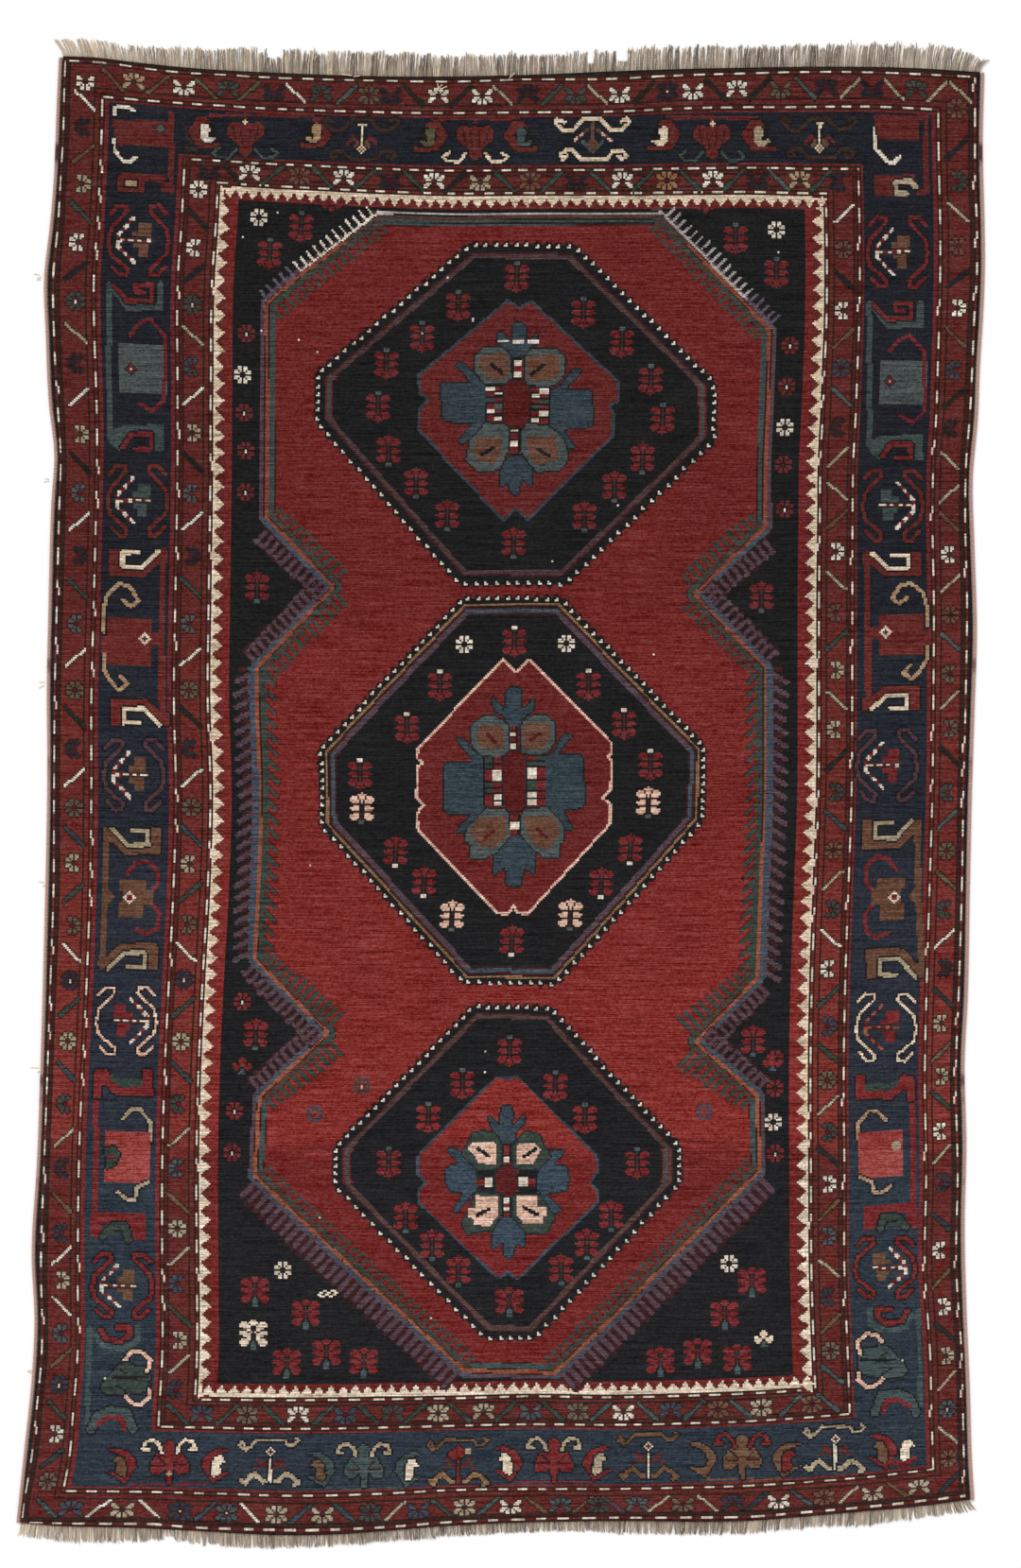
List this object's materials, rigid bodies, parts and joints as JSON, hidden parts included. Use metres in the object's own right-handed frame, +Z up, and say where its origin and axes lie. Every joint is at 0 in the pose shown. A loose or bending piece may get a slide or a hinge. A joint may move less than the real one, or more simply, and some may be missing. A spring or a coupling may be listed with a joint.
{
  "type": "azerbaijani pile rug with warp fringes",
  "caption": "Long hand-knotted wool rug, lying flat, with a red panel and octagon medallions on a near-black field, banded borders, overcast sides and a short fringe at each end.",
  "frame": {"origin": "middle of the outline's box, on the underside", "axes": "+X across the rug to the right, +Y along it to the far end, +Z up out of the pile"},
  "size_m": [1.6773, 2.5911, 0.007],
  "materials": {
    "pile": "matte wool pile, madder red with near-black, navy, ivory and green yarns",
    "selvedge_yarn": "pinkish overcast wool",
    "warp_yarn": "undyed taupe and cream warp ends"
  },
  "bodies": {
    "root": {"rug_body": "pile", "selvedge_left": "selvedge_yarn", "selvedge_right": "selvedge_yarn", "fringe_top": "warp_yarn", "fringe_bottom": "warp_yarn"}
  },
  "joints": []
}
